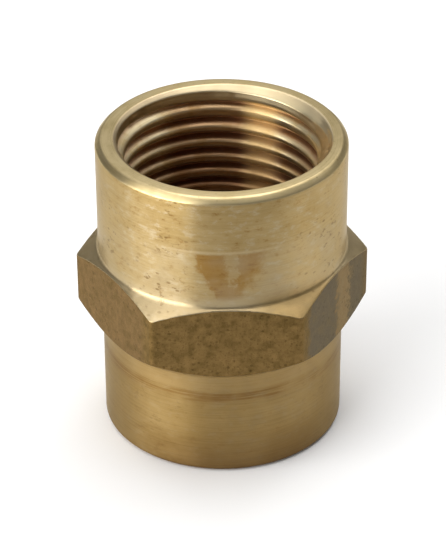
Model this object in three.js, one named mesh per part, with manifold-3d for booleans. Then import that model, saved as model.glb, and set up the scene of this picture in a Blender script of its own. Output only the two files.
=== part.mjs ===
// Reducing coupling: two pipe sockets of different size, turned back to back from hexagonal
// brass bar. Millimetres, +Z up. The origin is the centre of the small end's face, and the
// large end opens upward.
import * as THREE from "three";
import { mergeVertices } from "three/addons/utils/BufferGeometryUtils.js";
import Module from "manifold-3d";

const wasm = await Module();
wasm.setup();

// Bar stock
const ACROSS_FLATS = 20.64; // 13/16 inch hexagon bar
const CORNER_RADIUS = 0.55; // the drawn bar's rounded corners
const CORNER_STEPS = 5;

// Turned outside, heights measured from the small end's face
const LENGTH = 25.7;
const LARGE_BARREL_RADIUS = 10.07;
const SMALL_BARREL_RADIUS = 9.83;
const UPPER_SHOULDER_Z = 15.97; // where the large barrel meets its 30 degree shoulder
const LOWER_SHOULDER_Z = 9.34; // where the small barrel meets its shoulder
const UPPER_SHOULDER_SLOPE = Math.tan(THREE.MathUtils.degToRad(60)); // radius per height
const LOWER_SHOULDER_SLOPE = Math.tan(THREE.MathUtils.degToRad(54));
const LARGE_END_BEVEL = 0.44;
const SMALL_END_BEVEL = 0.3;
const BLANK_RADIUS = 12.2; // clear of the bar's corners

// Pipe threads: 60 degree form, 18 turns an inch, taper 1 in 16 on the diameter
const PITCH = 25.4 / 18;
const TAPER = 1 / 32; // radius lost per unit of depth
const FLANK = Math.tan(THREE.MathUtils.degToRad(30)); // half width gained per unit of radius
const ROOT_ABOVE_PITCH_LINE = 0.4 * PITCH;
const RUNOUT_TURNS = 0.75; // the last part turn, where the groove fades out

const LARGE_SOCKET = {
  pitchRadius: 7.963, // 3/8-18 pipe thread, at its mouth
  drillRadius: 7.62, // the hole is drilled straight, and its wall is left as the crests
  mouthRadius: 8.72, // outer edge of the countersink
  mouthSlope: 1.4, // radius lost per unit of depth in the countersink
  threadDepth: 12.4,
  drillDepth: 13.6,
  phaseDepth: 1.46, // depth of the first groove's root above +Y
};
const SMALL_SOCKET = {
  pitchRadius: 6.244, // 1/4-18 pipe thread, at its mouth
  drillRadius: 5.8, // this drill runs right through and leaves the throat
  mouthRadius: 7.1,
  mouthSlope: 1,
  threadDepth: 9.9,
  drillDepth: LENGTH,
  phaseDepth: 0.7,
};
const DRILL_POINT_SLOPE = Math.tan(THREE.MathUtils.degToRad(31)); // 118 degree drill point

// Facets
const OUTSIDE_STEPS = 72;
const BORE_STEPS = 48;
const OVERSHOOT = 1; // how far a cutting solid runs past a face
const SLIP = 0.01; // keeps two cutting solids off one common surface

const brass = new THREE.MeshStandardMaterial({
  name: "brass", color: 0xb8925a, roughness: 0.34, metalness: 1,
});

// ---- solids and geometry -------------------------------------------------------------------

function toSolid(geometry) {
  const bare = geometry.clone();
  bare.deleteAttribute("normal");
  bare.deleteAttribute("uv");
  const merged = mergeVertices(bare, 1e-5);
  return new wasm.Manifold(new wasm.Mesh({
    numProp: 3,
    vertProperties: Float32Array.from(merged.attributes.position.array),
    triVerts: Uint32Array.from(merged.index.array),
  }));
}

function toGeometry(solid) {
  const mesh = solid.getMesh();
  const geometry = new THREE.BufferGeometry();
  geometry.setAttribute("position", new THREE.BufferAttribute(mesh.vertProperties, 3));
  geometry.setIndex(new THREE.BufferAttribute(mesh.triVerts, 1));
  geometry.computeVertexNormals();
  return geometry;
}

// A solid of revolution about Z from [radius, height] points, listed upward.
function turned(points, steps) {
  const outline = points.map(([radius, height]) => new THREE.Vector2(radius, height));
  return toSolid(new THREE.LatheGeometry(outline, steps).rotateX(Math.PI / 2));
}

// ---- the outside ---------------------------------------------------------------------------

function hexagonBar() {
  const flat = ACROSS_FLATS / 2;
  const cornerCentre = (flat - CORNER_RADIUS) / Math.cos(Math.PI / 6);
  const outline = new THREE.Shape();
  for (let corner = 0; corner < 6; corner += 1) {
    const angle = (corner * Math.PI) / 3; // corners on +X and -X, flats facing +Y and -Y
    const x = cornerCentre * Math.cos(angle);
    const y = cornerCentre * Math.sin(angle);
    outline.absarc(x, y, CORNER_RADIUS, angle - Math.PI / 6, angle + Math.PI / 6, false);
  }
  outline.closePath();
  const bar = new THREE.ExtrudeGeometry(outline, {
    depth: LENGTH, bevelEnabled: false, curveSegments: CORNER_STEPS,
  });
  return toSolid(bar);
}

function turnedBlank() {
  const upperReach = (BLANK_RADIUS - LARGE_BARREL_RADIUS) / UPPER_SHOULDER_SLOPE;
  const lowerReach = (BLANK_RADIUS - SMALL_BARREL_RADIUS) / LOWER_SHOULDER_SLOPE;
  return turned([
    [0, 0],
    [SMALL_BARREL_RADIUS - SMALL_END_BEVEL, 0],
    [SMALL_BARREL_RADIUS, SMALL_END_BEVEL],
    [SMALL_BARREL_RADIUS, LOWER_SHOULDER_Z],
    [BLANK_RADIUS, LOWER_SHOULDER_Z + lowerReach],
    [BLANK_RADIUS, UPPER_SHOULDER_Z - upperReach],
    [LARGE_BARREL_RADIUS, UPPER_SHOULDER_Z],
    [LARGE_BARREL_RADIUS, LENGTH - LARGE_END_BEVEL],
    [LARGE_BARREL_RADIUS - LARGE_END_BEVEL, LENGTH],
    [0, LENGTH],
  ], OUTSIDE_STEPS);
}

// ---- the sockets, made mouth up with the face at zero ---------------------------------------

// The plain surfaces: the countersink, and the drilled hole below the thread with its point.
function plainCutter(socket) {
  const { drillRadius, mouthRadius, mouthSlope, threadDepth, drillDepth } = socket;
  const countersinkTip = (drillRadius - OVERSHOOT - mouthRadius) / mouthSlope;
  const countersink = turned([
    [0, countersinkTip],
    [drillRadius - OVERSHOOT, countersinkTip],
    [mouthRadius + OVERSHOOT * mouthSlope, OVERSHOOT],
    [0, OVERSHOOT],
  ], BORE_STEPS);
  const hole = turned([
    [0, -drillDepth - drillRadius * DRILL_POINT_SLOPE],
    [drillRadius, -drillDepth],
    [drillRadius, -threadDepth + PITCH],
    [0, -threadDepth + PITCH],
  ], BORE_STEPS);
  return countersink.add(hole);
}

// Three points of the thread's outline for one turn: the root, then the crest's two edges.
function threadOutline(socket, depth) {
  const { pitchRadius, drillRadius, threadDepth } = socket;
  const turnsLeft = (threadDepth - depth) / PITCH;
  const cut = THREE.MathUtils.clamp(turnsLeft / RUNOUT_TURNS, 0, 1);
  const crest = drillRadius + (turnsLeft > 0 ? SLIP : -SLIP);
  const fullRoot = pitchRadius + ROOT_ABOVE_PITCH_LINE - depth * TAPER;
  const groove = Math.max((fullRoot - crest) * cut, SLIP);
  return [
    [crest + groove, depth],
    [crest, depth + groove * FLANK],
    [crest, depth + PITCH - groove * FLANK],
  ];
}

// The right-hand threaded bore as one solid. Its rows of points run round the axis as a
// helix, so the last column joins the first one a turn further down.
function threadedCutter(socket) {
  const top = socket.phaseDepth - Math.ceil(socket.phaseDepth / PITCH + 1) * PITCH;
  const turns = Math.ceil((socket.threadDepth - top) / PITCH);
  const columnLength = turns * 3 + 1;
  const positions = [0, 0, -top + PITCH, 0, 0, -top - (turns + 1) * PITCH];
  for (let column = 0; column < BORE_STEPS; column += 1) {
    const angle = Math.PI / 2 - (column * 2 * Math.PI) / BORE_STEPS;
    for (let row = 0; row < columnLength; row += 1) {
      const turn = Math.floor(row / 3) + column / BORE_STEPS;
      const [radius, depth] = threadOutline(socket, top + turn * PITCH)[row % 3];
      positions.push(radius * Math.cos(angle), radius * Math.sin(angle), -depth);
    }
  }
  const point = (column, row) => {
    const wraps = Math.floor(column / BORE_STEPS);
    return 2 + (column - wraps * BORE_STEPS) * columnLength + row + wraps * 3;
  };
  const index = [];
  for (let column = 0; column < BORE_STEPS; column += 1) {
    const rows = column === BORE_STEPS - 1 ? columnLength - 3 : columnLength;
    for (let row = 0; row < rows - 1; row += 1) {
      const here = point(column, row);
      const beside = point(column + 1, row);
      index.push(here, beside, here + 1, beside, beside + 1, here + 1);
    }
    index.push(0, point(column + 1, 0), point(column, 0));
    index.push(1, point(column, rows - 1), point(column + 1, rows - 1));
  }
  // the steps where the first and the last turn close on themselves
  for (let row = 0; row < 3; row += 1) {
    index.push(0, point(0, row), point(0, row + 1));
    const last = columnLength - 1 - row;
    index.push(1, point(BORE_STEPS - 1, last), point(BORE_STEPS - 1, last - 1));
  }
  const bore = new THREE.BufferGeometry();
  bore.setAttribute("position", new THREE.Float32BufferAttribute(positions, 3));
  bore.setIndex(index);
  return toSolid(bore);
}

function socketCutter(socket) {
  return threadedCutter(socket).add(plainCutter(socket));
}

// ---- the coupling --------------------------------------------------------------------------

function couplingBody() {
  const largeEnd = socketCutter(LARGE_SOCKET).translate([0, 0, LENGTH]);
  const smallEnd = socketCutter(SMALL_SOCKET).rotate([180, 0, 0]);
  const body = turnedBlank().intersect(hexagonBar()).subtract(largeEnd).subtract(smallEnd);
  const mesh = new THREE.Mesh(toGeometry(body), brass);
  mesh.name = "coupling_body";
  return mesh;
}

const coupling = new THREE.Group();
coupling.add(couplingBody());

export default coupling;
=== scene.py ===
"""The looks of the reducing coupling: one closed brass body, built from its own turned profile.

Lengths are in millimetres until the mesh is handed to Blender, which gets metres. The profile
is the CAD body's, with its edges broken and its threads rounded. A column is one angle round
the axis, and a row is one line round the whole body.
"""

import math

import bpy
import numpy as np
from mathutils import Matrix, Vector


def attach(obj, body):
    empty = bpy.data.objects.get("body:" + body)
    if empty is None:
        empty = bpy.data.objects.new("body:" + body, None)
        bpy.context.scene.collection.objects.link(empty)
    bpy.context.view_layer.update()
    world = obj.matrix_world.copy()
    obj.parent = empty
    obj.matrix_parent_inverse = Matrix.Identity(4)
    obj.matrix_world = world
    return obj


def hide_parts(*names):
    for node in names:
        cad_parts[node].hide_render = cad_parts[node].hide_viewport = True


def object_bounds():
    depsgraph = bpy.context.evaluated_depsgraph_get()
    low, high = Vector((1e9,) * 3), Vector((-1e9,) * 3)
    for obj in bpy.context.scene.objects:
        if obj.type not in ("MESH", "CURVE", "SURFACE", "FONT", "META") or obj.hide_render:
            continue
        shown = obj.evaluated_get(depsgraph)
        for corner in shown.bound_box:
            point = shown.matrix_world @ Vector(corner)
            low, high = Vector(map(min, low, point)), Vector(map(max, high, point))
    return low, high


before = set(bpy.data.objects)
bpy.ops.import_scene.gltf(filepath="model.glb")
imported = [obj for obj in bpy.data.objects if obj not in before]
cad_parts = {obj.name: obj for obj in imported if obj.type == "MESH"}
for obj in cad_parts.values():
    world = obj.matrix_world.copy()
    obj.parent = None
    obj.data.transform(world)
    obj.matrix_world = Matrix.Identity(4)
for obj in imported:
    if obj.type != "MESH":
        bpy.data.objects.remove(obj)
cad_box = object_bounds()

MM = 0.001

# ---- sizes, as the CAD body has them -------------------------------------------------------

LENGTH = (cad_box[1].z - cad_box[0].z) / MM
ACROSS_FLATS = (cad_box[1].y - cad_box[0].y) / MM
CORNER_RADIUS = 0.55
LARGE_BARREL = 10.07
SMALL_BARREL = 9.83
UPPER_SHOULDER_Z = 15.97
LOWER_SHOULDER_Z = 9.34
UPPER_SLOPE = math.tan(math.radians(60))
LOWER_SLOPE = math.tan(math.radians(54))
LARGE_END_BEVEL = 0.44
SMALL_END_BEVEL = 0.3

PITCH = 25.4 / 18
TAPER = 1 / 32
FLANK = math.tan(math.radians(30))
SHARP_HEIGHT = PITCH / (2 * FLANK)
ROOT_HEIGHT = 0.4 * PITCH
RUNOUT_TURNS = 0.75
DRILL_POINT = math.tan(math.radians(31))

# ---- finer shapes that only this model has -------------------------------------------------

GROOVE_ROUNDING = 0.12
CREST_ROUNDING = 0.3
MOUTH_ROUNDING = 0.1
THROAT_ROUNDING = 0.08
EDGE_ROUNDINGS = [0.12, 0.14, 0.3, 0.08, 0.09, 0.28, 0.14, 0.16]  # from the small end upwards
BURR_HEIGHT = 0.02
LOWER_BURR = 0.6  # the lower edge's burr as a share of the upper one's
THREAD_START = 0.35  # depth of the first root that is cut at all
THREAD_GROWTH = 0.4  # how much deeper a root lies where the groove is cut in full
FADED_DEPTH = 0.02  # how far inside the crest's radius a faded groove ends

# the lip is worn into a smooth funnel at one side of the large socket
WORN_MIDDLE = math.radians(106)
WORN_WIDTH = math.radians(31)
WORN_MOUTH = 8.86  # the funnel's radius at the face
WORN_SLOPE = 0.6  # how much it narrows for each millimetre down
WORN_DEPTH = 2.7
WORN_FADE = 0.5

# nicks and burrs round the large mouth: turn in degrees, depth, width in degrees, height, cut
NICKS = [
    (100, 0.75, 1.6, 0.22, 0.14), (107, 1.0, 1.4, 0.2, 0.13), (93, 1.3, 1.5, 0.16, 0.08),
    (304, 0.75, 2.6, 0.22, -0.13), (297, 0.95, 1.8, 0.16, 0.1), (311, 0.6, 1.6, 0.15, 0.08),
    (72, 1.15, 1.6, 0.16, 0.09), (246, 0.9, 2.0, 0.2, 0.08),
]

# ---- the two sockets -----------------------------------------------------------------------
# pitch, drill and mouth are radii, and thread and drilled are depths below the socket's face.
# The countersink narrows by its number for each millimetre down, off_centre from the axis.
# A groove's root lies at depth phase where the turn is 0, and hand makes it a right-hand thread.
# mouth_edge is the depth of the last ring in the countersink, and how much it leans sideways.
# low_crests gives the crests' radius at some depths, and ends at the drill's own radius.

LARGE = dict(
    pitch=7.963, drill=7.62, mouth=8.72, countersink=1.4, thread=12.4, drilled=13.6,
    phase=1.46, hand=1, off_centre=0.1, mouth_edge=(0.55, 0.2), worn=1, nicks=NICKS,
    low_crests=([0.45, 0.75, 1.0, 1.9, 2.2, 2.5, 3.3], [8.25, 8.1, 7.87, 7.74, 7.87, 7.88, 7.62]),
)
SMALL = dict(
    pitch=6.244, drill=5.8, mouth=7.1, countersink=1.0, thread=9.9, drilled=11.0,
    phase=0.7 + PITCH / 2, hand=-1, off_centre=0, mouth_edge=(0.5, 0), worn=0, nicks=[],
    low_crests=([0, 1], [5.8, 5.8]),
)

# ---- columns -------------------------------------------------------------------------------

PLAIN_COLUMNS = 41  # between two corners of the hexagon
CORNER_COLUMNS = 7  # across one rounded corner
CORNER_SPREAD = math.radians(1.6)
HALF_FLAT = math.radians(30)  # half the angle that one flat of the hexagon takes up


def column_turns():
    """Clockwise angle of each column from +Y, from 0 to a full turn, closer at the corners."""
    turns = []
    for corner in range(6):
        middle = HALF_FLAT * (2 * corner + 1)
        across = np.linspace(middle - CORNER_SPREAD, middle + CORNER_SPREAD, CORNER_COLUMNS)
        start = middle + CORNER_SPREAD
        end = middle + 2 * HALF_FLAT - CORNER_SPREAD
        between = np.linspace(start, end, PLAIN_COLUMNS + 2)[1:-1]
        turns.extend([across, between])
    turns = np.concatenate(turns)
    return np.sort(np.mod(turns, 2 * math.pi))


TURN = column_turns()
COLUMNS = len(TURN)
X_SHARE, Y_SHARE = np.sin(TURN), np.cos(TURN)


def burr():
    """The small random rise and fall of the collar's edges: a few waves round the axis."""
    rng = np.random.default_rng(11)
    total = np.zeros(COLUMNS)
    for waves in (19, 31, 47, 66, 90):
        height = rng.uniform(0.4, 1) * waves**-0.1
        total += height * np.sin(waves * TURN + rng.uniform(0, 2 * math.pi))
    return BURR_HEIGHT * total / np.abs(total).max()


def hexagon_radius():
    """Distance from the axis to the bar's surface, at each column."""
    flat = ACROSS_FLATS / 2
    off_flat = np.mod(TURN + HALF_FLAT, 2 * HALF_FLAT) - HALF_FLAT
    to_flat = flat / np.cos(off_flat)
    off_corner = HALF_FLAT - np.abs(off_flat)
    centre = (flat - CORNER_RADIUS) / math.cos(HALF_FLAT)
    inside = np.maximum(CORNER_RADIUS**2 - (centre * np.sin(off_corner)) ** 2, 0)
    to_corner = centre * np.cos(off_corner) + np.sqrt(inside)
    touching = math.atan2(CORNER_RADIUS / 2, centre + CORNER_RADIUS * math.cos(HALF_FLAT))
    in_corner = off_corner < touching
    return np.where(in_corner, to_corner, to_flat)


HEXAGON = hexagon_radius()

# ---- rows ----------------------------------------------------------------------------------

CURVE_ROWS = 4  # rows in each rounded corner
MOST_OF_SIDE = 0.45  # how much of a side one rounding may use up
LAST_BEFORE_CREST = 0.49  # turns from a root to the last row before the middle of the crest
LONGEST_SIDE = 1.2  # between two rows on the outside
LONGEST_IN_THROAT = 0.8


def point(radius, height):
    """A row: radius and height at every column."""
    return np.array([radius * np.ones(COLUMNS), height * np.ones(COLUMNS)])


def softened(corners, roundings):
    """The rows along an outline, each inner corner replaced by a curve of that reach."""
    rows = [corners[0]]
    for before, corner, after, reach in zip(corners, corners[1:], corners[2:], roundings):
        back, on = before - corner, after - corner
        back = back / np.hypot(*back) * np.minimum(reach, MOST_OF_SIDE * np.hypot(*back))
        on = on / np.hypot(*on) * np.minimum(reach, MOST_OF_SIDE * np.hypot(*on))
        for t in np.linspace(0, 1, CURVE_ROWS):
            rows.append(corner + back * (1 - t) ** 2 + on * t**2)
    rows.append(corners[-1])
    return rows


def divided(rows, longest):
    """The same rows with more between any two that lie far apart."""
    filled = [rows[0]]
    for before, after in zip(rows, rows[1:]):
        count = max(1, int(np.ceil(np.hypot(*(after - before)).max() / longest)))
        filled.extend(before + (after - before) * i / count for i in range(1, count + 1))
    return filled


def outside_corners():
    """From the small end's face up the outside to the large end's face."""
    rise = burr()
    low_edge = LOWER_SHOULDER_Z + (HEXAGON - SMALL_BARREL) / LOWER_SLOPE + rise * LOWER_BURR
    high_edge = UPPER_SHOULDER_Z - (HEXAGON - LARGE_BARREL) / UPPER_SLOPE + rise
    return [
        point(mouth_at(SMALL) + 0.1, 0),
        point(SMALL_BARREL - SMALL_END_BEVEL, 0),
        point(SMALL_BARREL, SMALL_END_BEVEL),
        point(SMALL_BARREL, LOWER_SHOULDER_Z),
        point(HEXAGON, low_edge),
        point(HEXAGON, high_edge),
        point(LARGE_BARREL, UPPER_SHOULDER_Z),
        point(LARGE_BARREL, LENGTH - LARGE_END_BEVEL),
        point(LARGE_BARREL - LARGE_END_BEVEL, LENGTH),
        point(mouth_at(LARGE) + 0.06, LENGTH),
    ]


def soft_max(a, b, reach):
    """The larger of two lengths, with the corner where they cross rounded."""
    gap = np.clip((reach - np.abs(a - b)) / reach, 0, 1)
    return np.maximum(a, b) + gap**2 * reach / 4


def crest_radius(socket, depth, root):
    """How far out the crest beside a groove is. The first turns have low crests."""
    crest = root + np.where(depth > root, PITCH / 2, -PITCH / 2)
    return np.interp(crest, *socket["low_crests"])


def threaded_radius(socket, depth, root):
    """The thread alone, shallower where it starts and where it runs out."""
    crest = crest_radius(socket, depth, root)
    pitch_line = socket["pitch"] - depth * TAPER
    flank = pitch_line + SHARP_HEIGHT / 2 - np.abs(depth - root) / FLANK
    groove = -soft_max(-flank, -(pitch_line + ROOT_HEIGHT), GROOVE_ROUNDING) - crest
    fade = np.clip((socket["thread"] - depth) / PITCH / RUNOUT_TURNS, 0, 1)
    fade = fade * np.clip((root - THREAD_START) / THREAD_GROWTH, 0, 1)
    groove = groove * fade - FADED_DEPTH * (1 - fade)
    return crest + soft_max(groove, 0 * crest, CREST_ROUNDING)


def wall_radius(socket, depth, root):
    """The socket's wall: the thread with its wear and nicks, and the countersink over it."""
    wall = threaded_radius(socket, depth, root)
    sideways = (TURN - WORN_MIDDLE) / WORN_WIDTH
    worn = socket["worn"] * np.exp(-(sideways**2))
    worn = worn * np.clip((WORN_DEPTH - depth) / WORN_FADE, 0, 1)
    wall = wall + (WORN_MOUTH - WORN_SLOPE * depth - wall) * worn
    for turn, at_depth, width, height, cut in socket["nicks"]:
        aside = np.mod(TURN - math.radians(turn) + math.pi, 2 * math.pi) - math.pi
        aside = aside / math.radians(width)
        wall = wall + cut * np.exp(-(aside**2) - ((depth - at_depth) / height) ** 2)
    return soft_max(wall, mouth_at(socket) - depth * socket["countersink"], MOUTH_ROUNDING)


def mouth_at(socket):
    """The countersink is cut a little off centre."""
    return socket["mouth"] + socket["off_centre"] * X_SHARE


def edge_at(socket, root, side):
    """Turns from a groove's root to its edge, above it (-1) or below it (+1).

    The edge's own depth sets the taper there, so it is guessed and then bettered a few times.
    """
    edge = 0.35 * np.ones(COLUMNS)
    for _ in range(6):
        depth = np.clip(root + side * edge * PITCH, 0, socket["thread"])
        apex = socket["pitch"] - depth * TAPER + SHARP_HEIGHT / 2
        edge = (apex - crest_radius(socket, root + side, root)) / (2 * SHARP_HEIGHT)
        edge = np.clip(edge, 0.05, 0.45)
    return edge


def places_beside(socket, root, side, places):
    """Turns from a groove's root to each row between it and the middle of the crest, in order."""
    edge = edge_at(socket, root, side)
    turns = np.sort([share * edge + offset for share, offset in places], axis=0)
    return np.clip(turns, 0, LAST_BEFORE_CREST)


# from a groove's root to the middle of the crest: (share of the way to the edge, turns past it)
FINE_PLACES = [
    (0, 0.022), (0, 0.065), (0.36, 0), (0.6, 0), (0.8, 0),
    (1, -0.025), (1, 0.015), (1, 0.055), (1, 0.1),
]
COARSE_PLACES = [(0, 0.03), (0.5, 0), (1, -0.02), (1, 0.02)]
RING_SHARES = [0, 0.15, 0.3, 0.45, 0.6, 0.7, 0.78, 0.85, 0.92, 1]  # down the countersink


def row_at(socket, depth):
    """One row of points on the wall, wherever each lies in the thread."""
    turns = (depth - socket["phase"]) / PITCH - socket["hand"] * TURN / (2 * math.pi)
    root = depth - (turns - np.round(turns)) * PITCH
    return np.array([wall_radius(socket, depth, root), depth])


def socket_rows(socket, places):
    """Rows down a socket: rings through the countersink, then rows that follow the thread."""
    ring_depth, lean = socket["mouth_edge"]
    top = ring_depth + lean * X_SHARE
    rings = [row_at(socket, share * top) for share in RING_SHARES]

    first = -math.ceil(socket["phase"] / PITCH) - 2
    last = math.ceil((socket["drilled"] - socket["phase"]) / PITCH) + 2
    around = socket["hand"] * TURN / (2 * math.pi)
    rows = []
    for turn in range(first, last):
        root = socket["phase"] + (turn + around) * PITCH
        below = places_beside(socket, root, 1, places)
        above = places_beside(socket, root + PITCH, -1, places)
        for turns in [0, *below, 0.5, *(1 - above[::-1])]:
            depth = np.clip(root + turns * PITCH, top, socket["drilled"])
            rows.append(row_at(socket, depth))
    return rings, rows


# ---- the body's mesh -----------------------------------------------------------------------

SAME_PLACE = 2e-7  # points this close, in metres, are one

TURNED, DRAWN, FACED, THREADED = range(4)
OUTSIDE_ZONES = [FACED, TURNED, TURNED, TURNED, DRAWN, TURNED, TURNED, FACED, FACED]


class Skin:
    """Points in rows round the axis, the faces between rows, and each face's zone."""

    def __init__(self):
        self.points = []
        self.faces = []
        self.zones = []

    def add(self, rows):
        """Adds rows, and says which indices they have."""
        first = len(self.points)
        for radius, height in rows:
            self.points.append(np.column_stack([radius * X_SHARE, radius * Y_SHARE, height]))
        return list(range(first, first + len(rows)))

    def join(self, upper, lower, zone, upper_end=None, lower_end=None):
        """Faces between two rows. The ends say which rows the last column runs on to."""
        upper_end = upper if upper_end is None else upper_end
        lower_end = lower if lower_end is None else lower_end
        for column in range(COLUMNS):
            wraps = column == COLUMNS - 1
            after = 0 if wraps else column + 1
            self.faces.append((
                lower * COLUMNS + column,
                (lower_end if wraps else lower) * COLUMNS + after,
                (upper_end if wraps else upper) * COLUMNS + after,
                upper * COLUMNS + column,
            ))
            self.zones.append(zone)

    def band(self, indices, zone, shift=0):
        """Joins rows in turn. shift is how many rows further on the last column meets the first."""
        last = len(indices) - 1

        def beyond(k):
            return indices[min(max(k + shift, 0), last)]

        for k in range(last):
            self.join(indices[k], indices[k + 1], zone, beyond(k), beyond(k + 1))


def rows_per_turn(places):
    """How many rows further on the last column meets the first, one turn down the thread."""
    return 2 * len(places) + 2


def from_the_top(rows):
    """Rows with their depth below the large end's face turned into a height."""
    return [np.array([radius, LENGTH - depth]) for radius, depth in rows]


def throat_rows(start):
    """From the large socket's last row over the drill point and down the throat."""
    step_top = LENGTH - LARGE["drilled"]
    throat_top = step_top - (LARGE["drill"] - SMALL["drill"]) * DRILL_POINT
    corners = [
        start,
        point(SMALL["drill"], throat_top),
        point(SMALL["drill"], SMALL["drilled"]),
    ]
    return divided(softened(corners, [THROAT_ROUNDING]), LONGEST_IN_THROAT)[1:-1]


def zones_along(sides):
    """The zone of each stretch of a softened outline, where a curve is mostly the next side's."""
    zones = [sides[0]]
    for before, after in zip(sides, sides[1:]):
        zones.extend([before] + [after] * (CURVE_ROWS - 1))
    return zones


def add_outside(skin, first, last):
    """Up the outside, from the small socket's outermost ring to the large socket's."""
    outline = softened(outside_corners(), EDGE_ROUNDINGS)
    previous = skin.add([outline[0]])[0]
    skin.join(first, previous, FACED)
    for before, after, zone in zip(outline, outline[1:], zones_along(OUTSIDE_ZONES)):
        for row in divided([before, after], LONGEST_SIDE)[1:]:
            current = skin.add([row])[0]
            skin.join(previous, current, zone)
            previous = current
    skin.join(previous, last, FACED)


def build_body():
    """Down the large socket, through the throat, down the small socket and up the outside."""
    skin = Skin()
    rings, rows = socket_rows(LARGE, FINE_PLACES)
    rows = from_the_top(rows)
    large_rings = skin.add(from_the_top(rings))
    large = skin.add(rows)
    skin.band(large_rings + [large[0]], THREADED)
    skin.band(large, THREADED, rows_per_turn(FINE_PLACES))

    throat = skin.add(throat_rows(rows[-1]))

    # the small socket's rows are listed from its mouth, so they are added in reverse
    rings, rows = socket_rows(SMALL, COARSE_PLACES)
    small = skin.add(rows[::-1])
    skin.band(small, THREADED, rows_per_turn(COARSE_PLACES))
    small_rings = skin.add(rings[::-1])
    skin.band([small[-1]] + small_rings, THREADED)
    skin.band([large[-1]] + throat + [small[0]], THREADED)

    add_outside(skin, small_rings[-1], large_rings[0])
    return skin


def to_object(name, skin, materials):
    """The skin as one Blender object, with the rows that meet on one line joined into one."""
    mesh = bpy.data.meshes.new(name)
    points = np.concatenate(skin.points) * MM
    mesh.from_pydata(points.tolist(), [], skin.faces)
    mesh.polygons.foreach_set("material_index", np.array(skin.zones, np.int32))
    for material in materials:
        mesh.materials.append(material)
    piece = bpy.data.objects.new(name, mesh)
    bpy.context.scene.collection.objects.link(piece)
    weld = piece.modifiers.new("weld", "WELD")
    weld.merge_threshold = SAME_PLACE
    bpy.context.view_layer.objects.active = piece
    piece.select_set(True)
    bpy.ops.object.modifier_apply(modifier="weld")
    piece.data.validate()
    piece.data.shade_smooth()
    return piece


# ---- materials -----------------------------------------------------------------------------
# Positions inside a material are in millimetres. "around" grows to the right of the front.


class Surface:
    """A material, with short calls for the nodes that its colour and relief need."""

    def __init__(self, name):
        self.material = bpy.data.materials.new(name)
        self.material.use_nodes = True
        self.nodes = self.material.node_tree.nodes
        self.links = self.material.node_tree.links
        self.shader = self.nodes["Principled BSDF"]
        self.measure()

    def measure(self):
        """Position, distance from the axis, and a length that changes across every turning mark."""
        metres = self.nodes.new("ShaderNodeTexCoord").outputs["Object"]
        split = self.nodes.new("ShaderNodeSeparateXYZ")
        self.links.new(metres, split.inputs[0])
        self.x, self.y, self.z = (self.math("MULTIPLY", axis, 1 / MM) for axis in split.outputs)
        square = self.math("MULTIPLY_ADD", self.x, self.x, self.times(self.y, self.y))
        self.radius = self.math("SQRT", square)
        self.across = self.math("MULTIPLY_ADD", self.radius, 1.37, self.z)
        self.around = self.math("ARCTAN2", self.x, self.times(self.y, -1))
        self.place = self.vector(self.x, self.y, self.z)

    def put(self, value, target):
        """Links an input to a socket, or sets it to a plain value."""
        if isinstance(value, bpy.types.NodeSocket):
            self.links.new(value, target)
        else:
            target.default_value = value

    def math(self, operation, a, b=0.0, c=0.0):
        node = self.nodes.new("ShaderNodeMath")
        node.operation = operation
        for value, target in zip((a, b, c), node.inputs):
            self.put(value, target)
        return node.outputs[0]

    def times(self, *values):
        product = values[0]
        for value in values[1:]:
            product = self.math("MULTIPLY", product, value)
        return product

    def ramp(self, value, low, high, start=0.0, end=1.0):
        """start below low, end above high, and a smooth change between."""
        node = self.nodes.new("ShaderNodeMapRange")
        node.interpolation_type = "SMOOTHSTEP"
        for socket, setting in zip(node.inputs, (value, low, high, start, end)):
            self.put(setting, socket)
        return node.outputs[0]

    def near(self, value, middle, reach, soft):
        """1 within reach of middle, falling to 0 over soft."""
        away = self.math("ABSOLUTE", self.math("SUBTRACT", value, middle))
        return self.ramp(away, reach, self.math("ADD", reach, soft), 1, 0)

    def vector(self, x, y, z):
        node = self.nodes.new("ShaderNodeCombineXYZ")
        for value, target in zip((x, y, z), node.inputs):
            self.put(value, target)
        return node.outputs[0]

    def stretched(self, along, across, shift=0.0):
        """A place scaled separately along the turning marks and across them, per millimetre."""
        return self.vector(
            self.times(self.x, along), self.times(self.y, along),
            self.math("MULTIPLY_ADD", self.across, across, shift),
        )

    def noise(self, place, scale=1.0, detail=2.0, rough=0.5):
        node = self.nodes.new("ShaderNodeTexNoise")
        self.links.new(place, node.inputs["Vector"])
        node.inputs["Scale"].default_value = scale
        node.inputs["Detail"].default_value = detail
        node.inputs["Roughness"].default_value = rough
        return node.outputs["Fac"]

    def specks(self, place, scale, size, share):
        """Small round marks in some of the cells, share of them, size as a part of a cell."""
        node = self.nodes.new("ShaderNodeTexVoronoi")
        self.links.new(place, node.inputs["Vector"])
        node.inputs["Scale"].default_value = scale
        draw = self.nodes.new("ShaderNodeSeparateColor")
        self.links.new(node.outputs["Color"], draw.inputs[0])
        close = self.ramp(node.outputs["Distance"], size * 0.5, size, 1, 0)
        chosen = self.ramp(draw.outputs[0], share, self.math("ADD", share, 0.15), 1, 0)
        return self.times(close, chosen)

    def mix(self, share, under, over, blend="MIX"):
        node = self.nodes.new("ShaderNodeMix")
        node.data_type = "RGBA"
        node.blend_type = blend
        self.put(share, node.inputs["Factor"])
        for colour, name in ((under, "A"), (over, "B")):
            target = next(s for s in node.inputs if s.name == name and s.type == "RGBA")
            self.put((*colour, 1) if isinstance(colour, tuple) else colour, target)
        return next(s for s in node.outputs if s.type == "RGBA")

    def shade(self, colour, share, by):
        """The colour multiplied by another where share is 1."""
        return self.mix(share, colour, by, "MULTIPLY")


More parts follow.
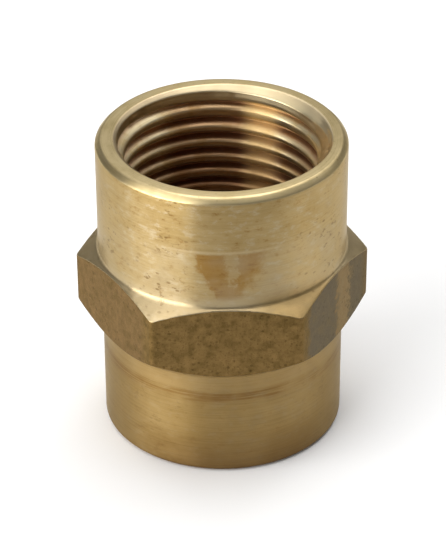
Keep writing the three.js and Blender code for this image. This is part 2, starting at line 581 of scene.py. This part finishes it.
class Brass(Surface):
    """Bare brass under a thin, matt film."""

    def __init__(self, name, anisotropy=0.0, coat=0.32):
        super().__init__(name)
        self.shader.inputs["Metallic"].default_value = 1
        self.shader.inputs["Specular Tint"].default_value = (0.72, 0.66, 0.52, 1)
        self.shader.inputs["Coat Weight"].default_value = coat
        self.shader.inputs["Coat Roughness"].default_value = 0.35
        if anisotropy:
            self.brush(anisotropy)

    def brush(self, anisotropy):
        """Stretches reflections across the turning marks, which run round the axis."""
        self.shader.inputs["Anisotropic"].default_value = anisotropy
        self.shader.inputs["Anisotropic Rotation"].default_value = 0.25
        tangent = self.nodes.new("ShaderNodeTangent")
        tangent.direction_type = "RADIAL"
        tangent.axis = "Z"
        self.links.new(tangent.outputs["Tangent"], self.shader.inputs["Tangent"])

    def finish(self, colour, roughness, height, depth):
        """Height is 0 to 1, and depth is what that stands for in millimetres."""
        self.put(colour, self.shader.inputs["Base Color"])
        self.put(roughness, self.shader.inputs["Roughness"])
        bump = self.nodes.new("ShaderNodeBump")
        bump.inputs["Distance"].default_value = depth * MM
        self.put(height, bump.inputs["Height"])
        self.links.new(bump.outputs["Normal"], self.shader.inputs["Normal"])
        return self.material


# colours that noise mixes into a finish, and heights of the marks on the turned brass
YELLOW_BRASS, BROWN_BRASS = (0.485, 0.352, 0.158), (0.4, 0.273, 0.1)
BAR_BROWN, BAR_TAN = (0.135, 0.082, 0.023), (0.255, 0.158, 0.055)
FACE_PALE, FACE_DEEP = (0.65, 0.52, 0.28), (0.5, 0.39, 0.19)
# thread crests painted pale as highlight, and grooves painted brown as shade
LIT_CREST_PALE, SHADED_GROOVE_BROWN = (0.66, 0.55, 0.34), (0.58, 0.36, 0.2)
# the countersink painted darker at the left as shade and paler at the right as light
MOUTH_SHADED_LEFT, MOUTH_LIT_RIGHT = (0.54, 0.44, 0.27), (0.68, 0.57, 0.35)

SCRIBED_LINE_Z = 20.95
STAIN_TOP_Z = 20.8
STAIN_FOOT_Z = 16.3
HAZE_Z = 18.2
SHOULDER_BAND_Z = 14.3
PALE_BAND_Z = 8.6
BROWN_BAND_Z = 7.3


def barrel_stain(brass):
    """An orange tarnish on the front of the large barrel: a ragged wedge, fading to the right."""
    ragged = brass.math("MULTIPLY_ADD", brass.noise(brass.place, 1.6, 5, 0.6), 2.4, -1.2)
    sideways = brass.math("MULTIPLY_ADD", brass.around, LARGE_BARREL, ragged)
    lower = brass.ramp(brass.z, STAIN_TOP_Z, STAIN_FOOT_Z)
    down = brass.math("MULTIPLY_ADD", ragged, 0.1, lower)
    left = brass.math("MULTIPLY_ADD", down, 1.8, -2.6)
    right = brass.math("MULTIPLY_ADD", down, -2.2, 3.3)
    from_left = brass.ramp(brass.math("SUBTRACT", sideways, left), -0.2, 0.3)
    from_right = brass.ramp(brass.math("SUBTRACT", right, sideways), -0.5, 0.9, 0, 0.95)
    gap = brass.near(sideways, 0.45, brass.math("MULTIPLY_ADD", down, -0.85, 0.5), 0.35)
    filled = brass.math("MULTIPLY_ADD", gap, -0.75, 1)
    below_line = brass.ramp(brass.z, SCRIBED_LINE_Z - 0.07, SCRIBED_LINE_Z - 0.27)
    foot = brass.math("MULTIPLY_ADD", ragged, 0.3, brass.z)
    above_foot = brass.ramp(foot, STAIN_FOOT_Z + 0.1, STAIN_FOOT_Z + 0.8)
    return brass.times(from_left, from_right, filled, below_line, above_foot)


def large_barrel_marks(brass, colour, cloud):
    """A pale haze low on the large barrel, and a fine line scribed across its front."""
    haze = brass.times(brass.near(brass.z, HAZE_Z, 1.8, 1.8), brass.ramp(cloud, 0.35, 0.6))
    colour = brass.mix(brass.times(haze, 0.4), colour, (0.5, 0.41, 0.26))
    line = brass.near(brass.z, SCRIBED_LINE_Z, 0.04, 0.1)
    line = brass.times(line, brass.near(brass.around, -0.05, 0.3, 0.25))
    return brass.mix(brass.times(line, 0.2), colour, (0.75, 0.6, 0.38))


def small_barrel_marks_and_shade(brass, colour, lines, cloud):
    """A pale band under the collar, a brown band below it, a painted shade on the foot at the front,
    and a painted shade along the bottom edge.
    """
    pale = brass.times(brass.near(brass.z, PALE_BAND_Z, 0.4, 0.7), brass.ramp(lines, 0.3, 0.6))
    colour = brass.mix(brass.times(pale, 0.35), colour, (0.6, 0.44, 0.23))
    brown = brass.times(brass.near(brass.z, BROWN_BAND_Z, 0.2, 0.6), brass.ramp(lines, 0.56, 0.42))
    brown = brass.times(brown, brass.ramp(cloud, 0.35, 0.55))
    colour = brass.shade(colour, brown, (0.74, 0.6, 0.42))
    # painted shade: the foot of the small barrel darker and browner at the front
    foot = brass.ramp(brass.z, 5, 0, 0, 0.75)
    foot = brass.times(foot, brass.near(brass.around, 0.1, 0.45, 0.7))
    colour = brass.shade(colour, foot, (0.58, 0.48, 0.36))
    # painted shade: a darker line along the bottom edge, where it meets the floor
    edge = brass.ramp(brass.z, 0.6, 0.15, 0, 0.6)
    return brass.shade(colour, edge, (0.6, 0.5, 0.4))


def shoulder_highlight_and_shade(brass, colour):
    """Shoulders painted paler as highlight, with a browner painted shade to the right of the front."""
    shoulder = brass.near(brass.z, SHOULDER_BAND_Z, 1.7, 1.2)
    # painted highlight: paler shoulders all round
    colour = brass.mix(brass.times(shoulder, 0.5), colour, (0.55, 0.45, 0.28))
    # painted shade: browner to the right of the front
    brown = brass.times(shoulder, brass.near(brass.around, 0.6, 0.2, 0.35))
    return brass.shade(colour, brown, (0.86, 0.76, 0.56))


def pits_in(brass):
    """Pits and smudges in clusters, away from the front and mostly on the large barrel."""
    off_front = brass.math("ABSOLUTE", brass.math("SUBTRACT", brass.around, 0.15))
    pitted = brass.times(brass.ramp(off_front, 0.25, 0.6), brass.ramp(brass.z, 14.5, 17, 0.3, 1))
    clusters = brass.noise(brass.stretched(0.3, 0.3, 21), 1, 2)
    pitted = brass.times(pitted, brass.ramp(clusters, 0.42, 0.6))
    smudges = brass.ramp(brass.noise(brass.stretched(1.3, 2.2, 29), 1, 4, 0.75), 0.56, 0.66)
    specks = brass.specks(brass.stretched(1, 1.8), 1.3, 0.3, 0.25)
    return brass.times(brass.math("MAXIMUM", specks, smudges), pitted)


def turned_brass():
    """Barrels and shoulders: turning marks, blotches, stains and pits, and painted highlight and shade.
    The small end is rougher and painted darker as shade.
    """
    brass = Brass("turned_brass", anisotropy=0.75)
    lines = brass.noise(brass.stretched(0.14, 5.5), 1, 4, 0.7)
    fine = brass.noise(brass.stretched(0.3, 14, 7), 1, 2, 0.6)
    cloud = brass.noise(brass.stretched(0.16, 0.16, 3), 1, 3, 0.6)
    patch = brass.noise(brass.stretched(0.8, 1.6, 11), 1, 5, 0.72)
    colour = brass.mix(brass.ramp(cloud, 0.3, 0.7), YELLOW_BRASS, BROWN_BRASS)
    colour = brass.shade(colour, brass.ramp(lines, 0.4, 0.8), (0.84, 0.81, 0.72))
    colour = brass.shade(colour, brass.ramp(fine, 0.5, 0.8), (0.88, 0.86, 0.82))

    # the small end: rougher, with fewer blotches, and painted darker as shade further down
    dull_and_shaded = brass.ramp(brass.z, 12, 9)
    blotched = brass.math("MULTIPLY_ADD", dull_and_shaded, -0.6, 1)
    pale = brass.times(brass.ramp(patch, 0.5, 0.7), blotched, 0.6)
    colour = brass.mix(pale, colour, (0.53, 0.44, 0.29))
    brown = brass.times(brass.ramp(patch, 0.46, 0.28), blotched)
    colour = brass.shade(colour, brown, (0.74, 0.61, 0.42))
    colour = brass.shade(colour, barrel_stain(brass), (0.77, 0.59, 0.3))
    colour = small_barrel_marks_and_shade(brass, colour, lines, cloud)
    colour = large_barrel_marks(brass, colour, cloud)
    colour = shoulder_highlight_and_shade(brass, colour)
    # painted shade: the whole small end darker
    colour = brass.shade(colour, dull_and_shaded, (0.72, 0.67, 0.555))

    pits = pits_in(brass)
    scratches = brass.ramp(brass.noise(brass.stretched(0.6, 3.4, 17), 1, 4, 0.75), 0.66, 0.74)
    dark = brass.math("MAXIMUM", pits, brass.times(scratches, 0.5))
    colour = brass.shade(colour, brass.times(dark, 0.7), (0.42, 0.33, 0.2))

    roughness = brass.math("MULTIPLY_ADD", dull_and_shaded, 0.08, brass.ramp(patch, 0.3, 0.7, 0.3, 0.4))
    relief = brass.math("SUBTRACT", brass.times(brass.math("ADD", lines, fine), 0.5), pits)
    return brass.finish(colour, roughness, relief, 0.006)


def side_flat_stains_and_reflection(brass, colour, mottle):
    """A redder left-hand flat, and a painted greyish reflection on the right-hand flats at the front,
    with a ragged brown stripe.
    """
    red = brass.times(brass.ramp(brass.x, -6.3, -6.8), brass.ramp(mottle, 0.3, 0.6, 0.5, 1))
    colour = brass.mix(brass.times(red, 0.4), colour, (0.2, 0.12, 0.06))
    ragged_x = brass.math("MULTIPLY_ADD", brass.math("SUBTRACT", mottle, 0.5), 1.6, brass.x)
    front = brass.ramp(brass.y, 0.5, -1.5)
    stripe = brass.near(ragged_x, 9.6, 0.3, 0.4)
    # painted reflection: the right-hand flats at the front turn greyish, apart from the stripe
    grey_reflection = brass.times(brass.ramp(ragged_x, 6.2, 6.9), front, brass.math("SUBTRACT", 1, stripe))
    grey_reflection = brass.times(grey_reflection, brass.ramp(mottle, 0.3, 0.55, 0.6, 1))
    colour = brass.mix(brass.times(grey_reflection, 0.7), colour, (0.125, 0.115, 0.095))
    return brass.mix(brass.times(stripe, front, 0.6), colour, (0.31, 0.225, 0.125))


def drawn_brass():
    """Hexagon flats: the bar's matt skin, mottled and speckled, with a painted greyish reflection on
    the right-hand sides and a redder left side.
    """
    brass = Brass("drawn_brass", coat=0.1)
    mottle = brass.noise(brass.place, 1.5, 4, 0.65)
    grain = brass.noise(brass.place, 6, 3, 0.7)
    thin_x, thin_y, long_z = brass.times(brass.x, 3), brass.times(brass.y, 3), brass.times(brass.z, 0.3)
    drawn = brass.noise(brass.vector(thin_x, thin_y, long_z), 1, 3)
    colour = brass.mix(brass.ramp(mottle, 0.3, 0.7), BAR_BROWN, BAR_TAN)
    colour = brass.shade(colour, brass.ramp(grain, 0.48, 0.72), (0.56, 0.54, 0.44))
    colour = brass.mix(brass.ramp(grain, 0.45, 0.25, 0, 0.5), colour, (0.33, 0.21, 0.08))
    colour = brass.shade(colour, brass.ramp(drawn, 0.5, 0.7, 0, 0.25), (0.7, 0.68, 0.62))
    colour = side_flat_stains_and_reflection(brass, colour, mottle)

    more_below = brass.ramp(brass.z, 11.4, 9.4, 0.25, 0.6)
    spots = brass.specks(brass.place, 2.2, 0.34, more_below)
    colour = brass.shade(colour, brass.times(spots, 0.45), (0.4, 0.36, 0.25))
    roughness = brass.ramp(mottle, 0.3, 0.7, 0.42, 0.6)
    return brass.finish(colour, roughness, brass.math("SUBTRACT", grain, spots), 0.012)


def faced_brass():
    """End rings and bevels: bright, with fine rings and a few stains."""
    brass = Brass("faced_brass", anisotropy=0.6)
    rings = brass.noise(brass.stretched(0.1, 9), 1, 3, 0.6)
    cloud = brass.noise(brass.stretched(0.35, 0.35, 9), 1, 3, 0.6)
    colour = brass.mix(brass.ramp(cloud, 0.35, 0.7), FACE_PALE, FACE_DEEP)
    colour = brass.shade(colour, brass.ramp(rings, 0.45, 0.75), (0.82, 0.8, 0.74))
    spots = brass.specks(brass.stretched(1, 1), 2.4, 0.2, 0.3)
    colour = brass.shade(colour, brass.times(spots, 0.6), (0.5, 0.42, 0.3))
    return brass.finish(colour, brass.ramp(cloud, 0.3, 0.7, 0.3, 0.42), rings, 0.004)


def above_pitch_line(brass, depth):
    """Distance outside the thread's pitch line, less for the low crests near the mouth."""
    line = brass.math("MULTIPLY_ADD", depth, -TAPER, LARGE["pitch"])
    low_crest = brass.ramp(depth, 3.4, 1.4, 0, 0.32)
    return brass.math("SUBTRACT", brass.math("SUBTRACT", brass.radius, line), low_crest)


def threaded_brass():
    """Threads, with painted light and shade: crests painted pale as highlight, grooves painted brown as
    shade, a painted highlight column between two stretches of painted shade, painted shade deeper down,
    and a countersink painted darker at the left and paler at the right.
    """
    brass = Brass("threaded_brass")
    cloud = brass.noise(brass.place, 0.6, 3, 0.6)
    marks = brass.noise(brass.stretched(0.25, 8), 1, 3, 0.65)
    depth = brass.math("SUBTRACT", LENGTH, brass.z)
    above = above_pitch_line(brass, depth)
    # painted highlight on the crests and painted shade in the grooves
    colour = brass.mix(brass.ramp(above, -0.2, 0.3), LIT_CREST_PALE, SHADED_GROOVE_BROWN)
    colour = brass.shade(colour, brass.ramp(cloud, 0.45, 0.7), (0.88, 0.8, 0.62))
    colour = brass.shade(colour, brass.ramp(marks, 0.5, 0.75), (0.75, 0.7, 0.6))

    from_back = brass.math("ARCTAN2", brass.x, brass.y)
    inside = brass.ramp(depth, 0.9, 1.6)
    # painted shade: a browner, darker band down the far side of the threads
    painted_shade_band = brass.times(brass.near(from_back, -0.12, 0.3, 0.3), inside, 0.9)
    colour = brass.shade(colour, painted_shade_band, (0.54, 0.4, 0.31))
    # painted highlight: a bright gold column down the threads to the right of the back, also rougher
    # there
    painted_highlight_column = brass.times(brass.near(from_back, 0.46, 0.06, 0.22), inside)
    colour = brass.mix(brass.times(painted_highlight_column, 0.75), colour, (0.92, 0.66, 0.3))
    # painted shade: the grooves darker further round to the right
    painted_groove_shade = brass.times(brass.near(from_back, 1.0, 0.22, 0.25), brass.ramp(above, -0.1, 0.25))
    colour = brass.shade(colour, brass.times(painted_groove_shade, inside, 0.8), (0.5, 0.38, 0.28))
    # painted shade: darker deeper down the bore
    colour = brass.shade(colour, brass.ramp(depth, 2, 10), (0.6, 0.5, 0.42))
    # painted shade and light: the countersink darker to the left and paler to the right
    mouth = brass.mix(brass.ramp(from_back, 0.1, 0.7), MOUTH_SHADED_LEFT, MOUTH_LIT_RIGHT)
    colour = brass.mix(brass.ramp(depth, 1.6, 0.6, 0, 0.85), colour, mouth)
    roughness = brass.math("MULTIPLY_ADD", painted_highlight_column, 0.22, brass.ramp(cloud, 0.3, 0.7, 0.32, 0.44))
    return brass.finish(colour, roughness, marks, 0.006)


materials = [turned_brass(), drawn_brass(), faced_brass(), threaded_brass()]
body = to_object("coupling_body_brass", build_body(), materials)
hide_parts("coupling_body")
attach(body, "root")

# ---- stage, light and camera ---------------------------------------------------------------

FLOOR_HALF = 1500
LIT_HEIGHT = 0.015  # in metres: the height that every lamp faces


def floor_paper():
    """White paper with a soft painted shadow in front of the part and to its right, to shade the front
    in its reflection.
    """
    paper = Surface("floor_paper")
    paper.shader.inputs["Roughness"].default_value = 0.9
    paper.shader.inputs["Specular IOR Level"].default_value = 0.2
    ahead = paper.times(paper.y, -1)
    slanted = paper.math("MULTIPLY_ADD", ahead, 0.33, paper.x)
    along = paper.times(paper.ramp(ahead, 24, 34), paper.ramp(ahead, 130, 60))
    aside = paper.times(paper.ramp(slanted, -12, -3), paper.ramp(paper.x, 110, 50))
    # painted shadow: the paper darkens to half its brightness in front of the part and to its right
    colour = paper.mix(paper.times(along, aside), (0.98, 0.98, 0.98), (0.5, 0.5, 0.5))
    paper.put(colour, paper.shader.inputs["Base Color"])
    return paper.material


def make_floor():
    """One large square sheet under the part."""
    corners = [(-1, -1, 0), (1, -1, 0), (1, 1, 0), (-1, 1, 0)]
    mesh = bpy.data.meshes.new("floor")
    mesh.from_pydata([Vector(corner) * FLOOR_HALF * MM for corner in corners], [], [(0, 1, 2, 3)])
    mesh.materials.append(floor_paper())
    floor = bpy.data.objects.new("floor", mesh)
    bpy.context.scene.collection.objects.link(floor)


def make_world():
    """A faint even light from everywhere."""
    world = bpy.data.worlds.new("studio")
    world.use_nodes = True
    background = world.node_tree.nodes["Background"]
    background.inputs["Color"].default_value = (1, 1, 1, 1)
    background.inputs["Strength"].default_value = 0.2
    bpy.context.scene.world = world
    bpy.context.scene.view_settings.view_transform = "Standard"


def direction(azimuth, elevation):
    """Away from the part, in degrees. Azimuth 0 is straight ahead of its front, and 90 its right."""
    azimuth, elevation = math.radians(azimuth), math.radians(elevation)
    return Vector((
        math.sin(azimuth) * math.cos(elevation),
        -math.cos(azimuth) * math.cos(elevation),
        math.sin(elevation),
    ))


def softbox(name, azimuth, elevation, distance, width, height, power):
    """A rectangular lamp that faces the part, sizes and distance in metres."""
    data = bpy.data.lights.new(name, "AREA")
    data.shape = "RECTANGLE"
    data.size, data.size_y = width, height
    data.energy = power
    lamp = bpy.data.objects.new(name, data)
    bpy.context.scene.collection.objects.link(lamp)
    towards = direction(azimuth, elevation)
    lamp.location = towards * distance + Vector((0, 0, LIT_HEIGHT))
    lamp.rotation_euler = towards.to_track_quat("Z", "Y").to_euler()


# angles are in degrees, and CAMERA_LENS is a focal length
CAMERA_AZIMUTH = -1.8
CAMERA_ELEVATION = 32.3
CAMERA_ROLL = -0.27
CAMERA_DISTANCE = 207.8
CAMERA_LENS = 166.3
AIM_RIGHT, AIM_UP = 0.057, -0.163  # how far from the part's centre the camera aims


def make_camera():
    data = bpy.data.cameras.new("camera")
    data.lens = CAMERA_LENS
    data.sensor_width = 36
    data.clip_start = 0.01
    camera = bpy.data.objects.new("camera", data)
    bpy.context.scene.collection.objects.link(camera)
    back = direction(CAMERA_AZIMUTH, CAMERA_ELEVATION)
    turn = (-back).to_track_quat("-Z", "Y").to_matrix()
    right, up = turn.col[0], turn.col[1]
    centre = Vector((0, 0, LENGTH / 2)) + right * AIM_RIGHT + up * AIM_UP
    camera.location = (centre + back * CAMERA_DISTANCE) * MM
    roll = Matrix.Rotation(math.radians(CAMERA_ROLL), 3, "Z")
    camera.rotation_euler = (turn @ roll).to_euler()
    bpy.context.scene.camera = camera


make_floor()
make_world()
softbox("key", -57, 25, 0.40, 0.40, 0.45, 1.45)
softbox("low_key", -57, 10, 0.40, 0.40, 0.12, 0.6)
softbox("wide_top", 180, 75, 0.45, 0.80, 0.70, 0.6)
softbox("top", 180, 82, 0.45, 0.40, 0.38, 1.1)
softbox("back", 180, 35, 0.40, 0.40, 0.25, 0.15)
softbox("right_back", 130, 50, 0.40, 0.30, 0.30, 0.25)
make_camera()
